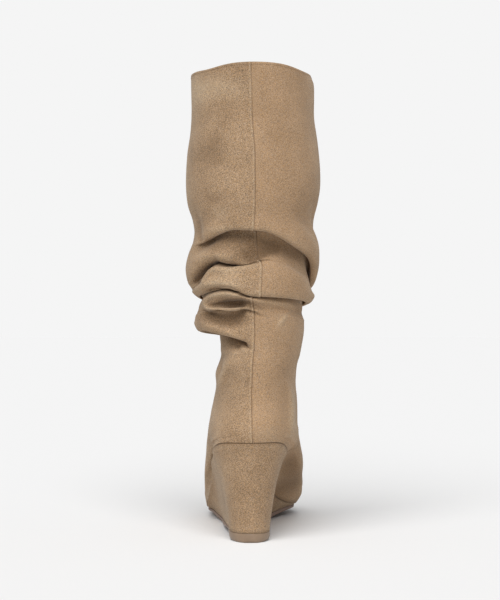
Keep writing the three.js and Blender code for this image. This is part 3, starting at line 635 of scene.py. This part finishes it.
suede = napMaterial("suede", {
    "sockets": {"Roughness": 0.95, "Specular IOR Level": 0.15, "Sheen Weight": 0.22, "Sheen Roughness": 0.4,
                "Sheen Tint": (1.0, 0.93, 0.82, 1)},
    "patch": 30.0, "speckleSize": 1400.0,
    "smooth": ((0.335, 0.224, 0.137, 1), (0.4, 0.272, 0.171, 1)),
    "coarse": ((0.29, 0.196, 0.121, 1), (0.375, 0.262, 0.168, 1)),
    # trough: colour of the painted shade; ridge: pale colour for rubbed wear and painted highlight
    "trough": ((0.13, 0.08, 0.045, 1), 0.75), "ridge": ((0.47, 0.36, 0.25, 1), 0.6),
    "tints": ((1.0, 0.89, 0.7, 1), (0.93, 0.98, 1.06, 1)), "tintShare": 0.85,
    "speckle": (0.48, 0.66), "bump": 0.55,
})
liningLeather = napMaterial("liningLeather", {
    "sockets": {"Roughness": 0.7, "Specular IOR Level": 0.15, "Sheen Weight": 0.05, "Sheen Roughness": 0.4,
                "Sheen Tint": (1.0, 0.95, 0.85, 1)},
    "patch": 40.0, "speckleSize": 700.0,
    "smooth": ((0.36, 0.26, 0.17, 1), (0.42, 0.31, 0.21, 1)),
    "coarse": ((0.36, 0.26, 0.17, 1), (0.42, 0.31, 0.21, 1)),
    "trough": ((0.3, 0.2, 0.12, 1), 0.3), "ridge": ((0.55, 0.43, 0.3, 1), 0.2),
    "tints": ((1.0, 0.96, 0.9, 1), (0.98, 0.99, 1.0, 1)), "tintShare": 0.4,
    "speckle": (0.08, 0.08), "bump": 0.15,
})
print("suede and lining ready")


# Mottling and pits of the moulded faces: ramp places, noise, and how the pits press in
moulding = {"ramp": (0.32, 0.7), "detail": 6.0, "rough": 0.65, "pitSize": 1600.0, "pits": 0.15,
            "pitDepth": 0.0003}


def moulded(name, look):
    # rubber, sole leather or thread: fine mottling and pits on a satin face
    material, tree, shader = makeMaterial(name, {"Specular IOR Level": look["gloss"]})
    join = tree.links.new
    place = addNode(tree, "ShaderNodeTexCoord")
    mottle = addNode(tree, "ShaderNodeTexNoise", Scale=look["scale"], Detail=moulding["detail"],
                     Roughness=moulding["rough"])
    tone = addNode(tree, "ShaderNodeValToRGB")
    for stop, at, key in zip(tone.color_ramp.elements, moulding["ramp"], ("dark", "light")):
        stop.position = at
        stop.color = look[key]
    rough = addNode(tree, "ShaderNodeMapRange")
    rough.inputs["To Min"].default_value, rough.inputs["To Max"].default_value = look["rough"]
    bump = addNode(tree, "ShaderNodeBump", Strength=moulding["pits"], Distance=moulding["pitDepth"])
    pits = addNode(tree, "ShaderNodeTexNoise", Scale=moulding["pitSize"], Detail=2.0)
    for texture in (mottle, pits):
        join(place.outputs["Object"], texture.inputs["Vector"])
    join(mottle.outputs["Fac"], tone.inputs["Fac"])
    join(mottle.outputs["Fac"], rough.inputs["Value"])
    join(tone.outputs["Color"], shader.inputs["Base Color"])
    join(rough.outputs["Result"], shader.inputs["Roughness"])
    join(pits.outputs["Fac"], bump.inputs["Height"])
    join(bump.outputs["Normal"], shader.inputs["Normal"])
    return material


liftRubber = moulded("liftRubber", {
    "scale": 60.0, "dark": (0.215, 0.145, 0.093, 1), "light": (0.27, 0.19, 0.125, 1),
    "rough": (0.35, 0.5), "gloss": 0.5,
})
soleLeather = moulded("soleLeather", {
    "scale": 45.0, "dark": (0.2, 0.13, 0.095, 1), "light": (0.27, 0.185, 0.14, 1),
    "rough": (0.45, 0.6), "gloss": 0.4,
})
thread = moulded("thread", {
    "scale": 300.0, "dark": (0.12, 0.07, 0.04, 1), "light": (0.2, 0.13, 0.08, 1),
    "rough": (0.7, 0.9), "gloss": 0.2,
})
print("sole materials ready")

# Upper: folded shaft, counter and vamp in one skin with its wall; grooves and ridges in millimetres
upperLook = {
    "columns": 236, "crowding": 0.32, "steps": [6] * 9 + [3] + [4] * 34 + [5] * 10,
    "wall": 1.7, "wallSoft": 3, "rimCrown": 0.5,
    "seamColumns": [0.18, 0.4, 0.65, 0.95, 1.3, 1.7, 2.2, 2.9],
    "seamStrip": 3.4, "seamSearch": 40, "seamReach": 30.0,
    "seamRidge": {"at": -0.5, "width": 1.1, "height": 0.5},
    "seamGroove": {"at": 0.9, "width": 0.45, "depth": 0.5},
    "sideGroove": {"width": 0.5, "depth": 0.45},
    "rimChannel": {"at": 1.9, "width": 0.55, "depth": 0.3},
    "swell": 0.55, "swellSize": 42, "ripple": 0.3, "rippleSize": 2.7,
    "backFace": (-0.25, 0.1), "rowFade": (-0.9, 0.1),
    "coarseAcross": (2.5, -2.5), "coarseAround": (-155, -110),
}
# How much bends, creases and seams turn the colour pale or dark: painted shade in troughs and pressed-in
# creases, pale ridges partly from rubbed wear and partly as painted highlight, dark seam grooves, and painted
# shade on the rows above the wedge's seam
upperTones = {"bendReach": 3, "bendSoft": 2, "bendPale": 4, "bendDark": 5, "fullPress": 6, "seamPale": 0.55,
              "seamDark": 0.65, "sideDark": 0.5, "edgeRows": (0.2, 0.7, 1)}
# Way of the back seam down the boot: key row of the upper, and its place across in millimetres
seamWay = ([0, 3, 5, 8, 12, 15, 17, 19, 22, 24, 27, 31, 36, 42, 46, 50, 54],
           [-2.3, -1.2, 1, 1.3, 0, 2, 4.6, 7.3, 6.5, 5, -1, 0.5, 1.2, 0.5, -1.6, -1.2, -0.8])
# Seam of the quarter, the same on both sides, from the front of the ankle down to the sole: key rows, angles,
# and how far behind it the stitches run
sideSeam = {"rows": [42, 44, 47, 50, 51, 52, 54], "angles": [128, 118, 98, 77, 70, 65, 59], "stitch": 0.9}


def upperKeys(angle):
    rows = [shaftPoint(angle, share, inset) for share, inset in shaftKeys(angle)]
    rows += [ringPoint(ring, angle) for ring in footRings]
    edge = featherPoint(angle)
    edge[:, 2] += boot["gap"]
    return np.array(rows + [edge])


def upperColumns():
    even = np.linspace(-180, 180, upperLook["columns"], endpoint=False)
    angle = even - upperLook["crowding"] * np.degrees(np.sin(np.radians(even)))
    close = np.array(upperLook["seamColumns"])
    return np.sort(np.concatenate([angle[np.abs(angle) > upperLook["seamStrip"]], -close, [0], close]))


def seamed(keys, dense, columns):
    # turns each key row a little so that column 0 runs down the back seam
    rows = []
    for k, row in enumerate(keys):
        want = np.interp(k, *seamWay)
        near = np.abs(dense) < upperLook["seamSearch"]
        at = np.interp(want, row[near, 0], dense[near])
        turned = columns + at * np.exp(-(columns / upperLook["seamReach"]) ** 2)
        rows.append(np.stack([np.interp(turned, dense, row[:, a], period=360) for a in range(3)], -1))
    return np.array(rows)


def groove(along, at, width):
    return np.exp(-((along - at) / width) ** 2)


def creasesOn(across, up, facing, keyOf):
    # how far all creases together press in and stand out
    pressIn, pressOut = 0 * across, 0 * across
    for way, spread, row in creases:
        begins = [row + shift for shift in upperLook["rowFade"]]
        amount = pressed(across, up, way, spread) * facing * eased(*begins, keyOf)
        pressIn += np.maximum(amount, 0)
        pressOut += np.maximum(-amount, 0)
    return pressIn, pressOut


# painted shade from the listed places and the foot's shade, negative where light is painted
def paintedShadeOn(rows, across, up, facing):
    # how dark the nap lies, negative where it is rubbed pale
    dark = footShade["dark"] * np.exp(-np.sum(((rows - footShade["at"]) / footShade["reach"]) ** 2, -1))
    for x, z, wide, tall, share in paintedShades:
        dark += share * np.exp(-(((across - x) / wide) ** 2 + ((up - z) / tall) ** 2)) * facing
    return dark


def sideGrooves(along, columns, keyOf):
    found = 0 * along
    angles = np.interp(keyOf[:, 0], sideSeam["rows"], sideSeam["angles"])
    for side in (-1, 1):
        at = np.array([np.interp(side * angle, columns, row) for angle, row in zip(angles, along)])[:, None]
        found += groove(along, at, upperLook["sideGroove"]["width"]) * (keyOf >= sideSeam["rows"][0])
    return found


def swellAt(point):
    # slack leather: low, broad swellings with a ripple on them
    p = Vector(point) / upperLook["swellSize"]
    ripple = upperLook["ripple"] * upperLook["swell"] * noise.noise(p * upperLook["rippleSize"])
    return upperLook["swell"] * noise.noise(p) + ripple


def placeOn(at, places, rows, normal):
    # point and outward direction where a line of places reaches a value
    return [np.interp(at, places, grid[:, axis]) for grid in (rows, normal) for axis in range(3)]


def stitchLines(rows, normal, down, along, columns, keyOf):
    # ways of the stitches: round the rim, and down both side seams
    top = np.flatnonzero(keyOf[:, 0] < 2)
    under = upperLook["rimChannel"]["at"]
    around = list(range(len(columns))) + [0]
    ways = [[placeOn(under, down[top, i], rows[top, i], normal[top, i]) for i in around]]
    for side in (-1, 1):
        way = []
        for j in np.flatnonzero(keyOf[:, 0] >= sideSeam["rows"][0]):
            angle = side * np.interp(keyOf[j, 0], sideSeam["rows"], sideSeam["angles"])
            at = np.interp(angle, columns, along[j]) - side * sideSeam["stitch"]
            way.append(placeOn(at, along[j], rows[j], normal[j]))
        ways.append(way)
    return [np.array(way) for way in ways]


def buildUpper():
    dense = np.arange(-180, 180, 0.5)
    columns = upperColumns()
    keys = seamed(upperKeys(np.radians(dense)), dense, columns)
    steps = upperLook["steps"]
    rows = smoothRows(keys, steps)
    # keyOf tells the key row that each row lies at
    rowStarts = np.concatenate([[0], np.cumsum(steps)])
    keyOf = np.interp(np.arange(len(rows)), rowStarts, np.arange(len(keys)))[:, None]
    turn = np.radians(columns)
    outward = np.stack([np.sin(turn), -np.cos(turn), 0 * turn], -1)[None]
    facing = eased(*upperLook["backFace"], np.cos(turn))[None]
    across, up = seenFromBack(rows)
    pressIn, pressOut = creasesOn(across, up, facing, keyOf)
    rows = rows - outward * (pressIn - pressOut)[..., None]
    down = boot["height"] - rows[..., 2]
    rows = pulled(shaped(rows), upperPulls)
    normal = gridNormals(rows)
    # the back seam stands proud, with its stitched groove on the inner side
    centre = int(np.argmin(np.abs(columns)))
    step = np.linalg.norm(np.diff(rows, axis=1), axis=-1)
    along = np.concatenate([np.zeros((len(rows), 1)), np.cumsum(step, axis=1)], 1)
    along = along - along[:, centre:centre + 1]
    seamRidge, seamGroove = upperLook["seamRidge"], upperLook["seamGroove"]
    rimChannel = upperLook["rimChannel"]
    seamTop = groove(along, seamRidge["at"], seamRidge["width"])
    seamCut = groove(along, seamGroove["at"], seamGroove["width"])
    sideCut = sideGrooves(along, columns, keyOf)
    lift = seamRidge["height"] * seamTop - seamGroove["depth"] * seamCut
    lift -= upperLook["sideGroove"]["depth"] * sideCut
    lift -= rimChannel["depth"] * groove(down, rimChannel["at"], rimChannel["width"])
    for j in range(len(rows)):
        for i in range(rows.shape[1]):
            lift[j, i] += swellAt(rows[j, i])
    rows = rows + normal * lift[..., None]
    # ridges turn pale, partly rubbed wear and partly painted highlight; troughs, pressed-in creases and the
    # listed places take painted shade, seam grooves a dark line
    bend = softened(bendOf(rows, upperTones["bendReach"]), upperTones["bendSoft"])
    dark = paintedShadeOn(rows, across, up, facing)
    pale = bend * upperTones["bendPale"] + pressOut / upperTones["fullPress"]
    ridge = np.clip(pale + upperTones["seamPale"] * seamTop - dark, 0, 1)
    deep = -bend * upperTones["bendDark"] + pressIn / upperTones["fullPress"]
    deep = deep + upperTones["seamDark"] * seamCut + upperTones["sideDark"] * sideCut
    trough = np.clip(deep + dark, 0, 1)
    # painted shade on the upper's last rows, just above the wedge's seam
    edgeRows = np.array(upperTones["edgeRows"])[:, None]
    trough[-len(edgeRows):] = np.maximum(trough[-len(edgeRows):], edgeRows)
    panel = eased(*upperLook["coarseAcross"], along) * eased(*upperLook["coarseAround"], columns)[None]
    # the wall: an inner skin, closed over the rim and at the feather edge
    soft = np.stack([softened(rows[..., axis], upperLook["wallSoft"]) for axis in range(3)], -1)
    inner = rows[::2] - gridNormals(soft)[::2] * upperLook["wall"]
    inner[0, :, 2] = rows[0, :, 2]
    inner[-1, :, 2] = rows[-1, :, 2]
    rimTop = (rows[:1] + inner[:1]) / 2 + np.array([0, 0, upperLook["rimCrown"]])
    loop = np.concatenate([rows, inner[::-1], rimTop])
    lining, crown = 0 * inner[..., 0], 0 * rimTop[..., 0]
    layers = {
        "ridge": np.concatenate([ridge, lining, crown + 1]),
        "trough": np.concatenate([trough, lining, crown]),
        "panel": np.concatenate([panel, panel[::2][::-1], panel[:1]]),
        "inside": np.concatenate([0 * ridge, lining + 1, crown]),
    }
    bm = closedGrid(loop, layers, wrap=True)
    inside = bm.verts.layers.float["inside"]
    for face in bm.faces:
        face.material_index = 1 if all(v[inside] > 0.5 for v in face.verts) else 0
    ways = stitchLines(rows, normal, down, along, columns, keyOf)
    return makePiece("upperSkin", bm, [suede, liningLeather]), ways


upperSkin, stitchWays = buildUpper()
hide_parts("upper")
print("upper:", len(upperSkin.data.polygons), "faces")


def aroundLoop(y, half, z):
    # whole loop from its half on the inner side, middle of the back first, tip last
    inner = np.stack([footShift(y) + half, y, z], -1)
    outer = np.stack([footShift(y) - half, y, z], -1)[1:-1][::-1]
    return np.concatenate([inner, outer])


# Wedge: suede-covered block; seamRound gives drop and inset of the rings that round it over at the seam
wedgeLook = {"steps": 72, "levels": 30, "seamRound": [(0, 1.5), (0, 0.5), (0.15, 0.12)], "firstLevel": 0.012,
             "bendReach": 2, "bendSoft": 1, "bendPale": 9, "bendDark": 4, "edgeRows": (1, 1, 1, 0.4)}


def buildWedge():
    angle = np.linspace(0, wedgeAngle, wedgeLook["steps"] + 1)
    share = (1 - np.cos(angle)) / (1 - math.cos(wedgeAngle))
    top = featherPoint(angle)
    underY = -boot["liftDepth"] / 2 + (boot["wedgeEnd"] + boot["liftDepth"] / 2) * share
    under = soleUnder(underY) + boot["sole"] + boot["gap"] + weltRise(underY)
    levels = [(drop, 0, inset) for drop, inset in wedgeLook["seamRound"]]
    levels += [(0, down, 0) for down in np.linspace(wedgeLook["firstLevel"], 1, wedgeLook["levels"])]
    rows = []
    for drop, down, inset in levels:
        way = curveThrough(*wedgeWay, down)
        y = top[:, 1] * (1 - way) + underY * way
        half = featherHalf(top[:, 1]) * (1 - way) + wedgeHalf(underY) * way
        z = top[:, 2] * (1 - down) + under * down - drop
        scale = np.where(half > 0, (half - inset) / np.maximum(half, 1e-6), 0)
        half = half * np.clip(scale, 0, 1)
        y = y + inset * np.cos(angle)
        rows.append(aroundLoop(np.append(y, y[-1]), np.append(half, 0), np.append(z, z[-1])))
    rows = pulled(shaped(np.array(rows)), wedgePulls)
    # pale ridges, partly rubbed wear and partly painted highlight, and painted shade in hollows; the rounded
    # rings at the top seam are a dark line
    bend = softened(bendOf(rows, wedgeLook["bendReach"]), wedgeLook["bendSoft"])
    ridge = np.clip(bend * wedgeLook["bendPale"], 0, 1)
    trough = np.clip(-bend * wedgeLook["bendDark"], 0, 1)
    edgeRows = np.array(wedgeLook["edgeRows"])[:, None]
    ridge[:len(edgeRows)] = 0
    trough[:len(edgeRows)] = np.maximum(trough[:len(edgeRows)], edgeRows)
    layers = {"ridge": ridge, "trough": trough, "panel": np.ones(bend.shape)}
    return makePiece("wedgeCover", closedGrid(rows, layers, caps=True), [suede])


wedgeCover = buildWedge()
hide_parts("wedge")
print("wedge:", len(wedgeCover.data.polygons), "faces")

# Heel lift, outsole and insole: inset and height of the lift's rings, inset (in edge rounds) and level of
# the sole's rings
soleLook = {
    "steps": 60, "proud": 0.5, "narrowest": 0.4,
    "liftRounds": [(0.5, 8), (0.1, 7.88), (0, 7.5), (0, 5.5), (0.1, 4), (0.35, 2.6), (0.8, 1.4), (1.5, 0.55),
                   (2.3, 0.12), (3.1, 0)],
    "edgeRound": 0.7, "edgeRings": [(0.35, 1), (0, 0.75), (0, 0.4), (0.3, 0.12), (1, 0)],
    "treadInset": 9, "treadRise": 0.5,
}


def buildLift():
    t = np.linspace(0, 1, soleLook["steps"] + 1)
    y = -boot["liftDepth"] / 2 + boot["liftDepth"] * (1 - np.cos(t * math.pi / 2))
    rows = []
    for inset, z in soleLook["liftRounds"]:
        half = np.maximum(0, wedgeHalf(y) - inset)
        place = np.maximum(y, -boot["liftDepth"] / 2 + inset)
        level = np.full(len(y) + 1, float(z))
        rows.append(aroundLoop(np.append(place, place[-1]), np.append(half, 0), level))
    lift = makePiece("heelLift", closedGrid(np.array(rows), caps=True), [liftRubber])
    # the two flat ends stay flat, the rings round them are smooth
    for face in lift.data.polygons:
        face.use_smooth = len(face.vertices) < 5
    return lift


def buildOutsole():
    back = boot["liftDepth"] / 2 + boot["gap"]
    tip = footEnd - boot["edgeStep"]
    end = boot["wedgeEnd"] + boot["gap"]
    under = np.linspace(back, boot["wedgeEnd"] + boot["gap"] / 2, soleLook["steps"])
    front = end + (tip - end) * np.sin(np.linspace(0, math.pi / 2, soleLook["steps"] // 2))
    y = np.concatenate([under, front[:-1]])
    side = np.where(y < boot["wedgeEnd"], wedgeHalf(y), np.maximum(0, featherHalf(y) - boot["edgeStep"]))
    side = side + soleLook["proud"] * weltRise(y)
    r, treadRise = soleLook["edgeRound"], soleLook["treadRise"]
    rings = [(share * r, level, treadRise) for share, level in soleLook["edgeRings"]]
    rings.append((soleLook["treadInset"], 0, 0))
    top = np.where(y < end, soleUnder(y) + boot["sole"] + weltRise(y), bottomHeight(y))
    rows = []
    for inset, level, rise in rings:
        bottom = soleUnder(y) + rise
        z = bottom + (top - bottom) * level
        half = np.maximum(soleLook["narrowest"] * side, side - inset)
        tipY = tip - inset
        tipBottom = soleUnder(tipY) + rise
        tipZ = tipBottom + (bottomHeight(tipY) - tipBottom) * level
        rows.append(aroundLoop(np.concatenate([[back], y, [tipY]]), np.concatenate([[0], half, [0]]),
                               np.concatenate([z[:1], z, [tipZ]])))
    return makePiece("outsolePlate", closedGrid(shaped(rows), caps=True), [soleLeather], smooth=False)


heelLift = buildLift()
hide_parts("heel_lift")
outsole = buildOutsole()
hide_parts("outsole")


def buildInsole():
    bm = bmesh.new()
    bm.from_mesh(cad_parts["insole"].data)
    bmesh.ops.remove_doubles(bm, verts=bm.verts, dist=weld)
    for vert in bm.verts:
        vert.co = Vector(shaped(np.array(vert.co) / mm)) * mm
    return makePiece("insoleBoard", bm, [liningLeather], smooth=False)


insole = buildInsole()
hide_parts("insole")
print("lift and outsole ready")

# Stitches: short dark threads below the rim and down the side seams
stitchLook = {"step": 1.85, "length": 1.25, "thick": 0.42, "lookAhead": 0.3, "segments": 8, "rings": 5}


def stitchRun(bm, points, normals):
    # one small capsule for each step along a line of points
    gap = np.linalg.norm(np.diff(points, axis=0), axis=1)
    along = np.concatenate([[0], np.cumsum(gap)])
    count = int(along[-1] / stitchLook["step"])
    for k in range(count):
        at = (k + 0.5) * along[-1] / count
        here = np.array([np.interp(at, along, points[:, a]) for a in range(3)])
        ahead = at + stitchLook["lookAhead"]
        there = np.array([np.interp(ahead, along, points[:, a]) for a in range(3)])
        out = Vector([np.interp(at, along, normals[:, a]) for a in range(3)]).normalized()
        way = Vector(there - here).normalized()
        side = out.cross(way).normalized()
        turn = Matrix((way, side, way.cross(side))).transposed().to_4x4()
        place = Matrix.Translation(Vector(here) * mm) @ turn
        size = Vector((stitchLook["length"], stitchLook["thick"], stitchLook["thick"])) * mm / 2
        bmesh.ops.create_uvsphere(bm, u_segments=stitchLook["segments"], v_segments=stitchLook["rings"],
                                  radius=1.0, matrix=place @ Matrix.Diagonal(size).to_4x4())


def buildStitches():
    bm = bmesh.new()
    for way in stitchWays:
        stitchRun(bm, way[:, :3], way[:, 3:])
    return makePiece("rimStitches", bm, [thread])


rimStitches = buildStitches()
print("stitches ready")

# Studio: pale floor out to the horizon, one wide soft light from above and behind the camera
studio = {"floor": (0.83, 0.83, 0.83, 1), "floorSize": 30, "fillLight": 0.3, "backdrop": 0.913,
          "key": 3.3, "spread": 55, "way": (0.16, 0.8, -0.95)}


def buildFloor():
    bm = bmesh.new()
    bmesh.ops.create_grid(bm, x_segments=2, y_segments=2, size=studio["floorSize"])
    paint = makeMaterial("floorPaint", {"Base Color": studio["floor"], "Roughness": 1.0,
                                        "Specular IOR Level": 0.0})[0]
    floor = makeObject("floor", bm, [paint], smooth=False)


def buildLights():
    world = bpy.data.worlds.new("studioWorld")
    bpy.context.scene.world = world
    world.use_nodes = True
    tree = world.node_tree
    seen = addNode(tree, "ShaderNodeBackground", Strength=studio["backdrop"])
    light = tree.nodes["Background"]
    for node in (seen, light):
        node.inputs["Color"].default_value = (1, 1, 1, 1)
    light.inputs["Strength"].default_value = studio["fillLight"]
    ray = addNode(tree, "ShaderNodeLightPath")
    both = addNode(tree, "ShaderNodeMixShader")
    tree.links.new(ray.outputs["Is Camera Ray"], both.inputs[0])
    tree.links.new(light.outputs[0], both.inputs[1])
    tree.links.new(seen.outputs[0], both.inputs[2])
    tree.links.new(both.outputs[0], tree.nodes["World Output"].inputs["Surface"])
    lamp = bpy.data.lights.new("key", "SUN")
    lamp.energy = studio["key"]
    lamp.angle = math.radians(studio["spread"])
    holder = bpy.data.objects.new("key", lamp)
    holder.rotation_euler = Vector(studio["way"]).to_track_quat("-Z", "Y").to_euler()
    bpy.context.scene.collection.objects.link(holder)


# Camera behind the boot at the photograph's angle; the boot stands aside of the picture's middle by so many
# pixels of the 500 by 600 frame
cameraLook = {"lens": 72.24, "sensor": 36, "shiftUp": 0.05, "place": (-0.0311, -1.0633, 0.185), "turn": -5.0,
              "asidePixels": 71.5, "focalPixels": 1204}


def buildCamera():
    lens = bpy.data.cameras.new("camera")
    lens.lens = cameraLook["lens"]
    lens.sensor_width = cameraLook["sensor"]
    lens.shift_y = cameraLook["shiftUp"]
    camera = bpy.data.objects.new("camera", lens)
    aside = math.atan(cameraLook["asidePixels"] / cameraLook["focalPixels"])
    camera.location = cameraLook["place"]
    camera.rotation_euler = (math.radians(90), 0, math.radians(cameraLook["turn"]) + aside)
    bpy.context.scene.collection.objects.link(camera)
    bpy.context.scene.camera = camera


buildFloor()
buildLights()
buildCamera()
bpy.context.scene.view_settings.view_transform = "Standard"
print("studio ready")
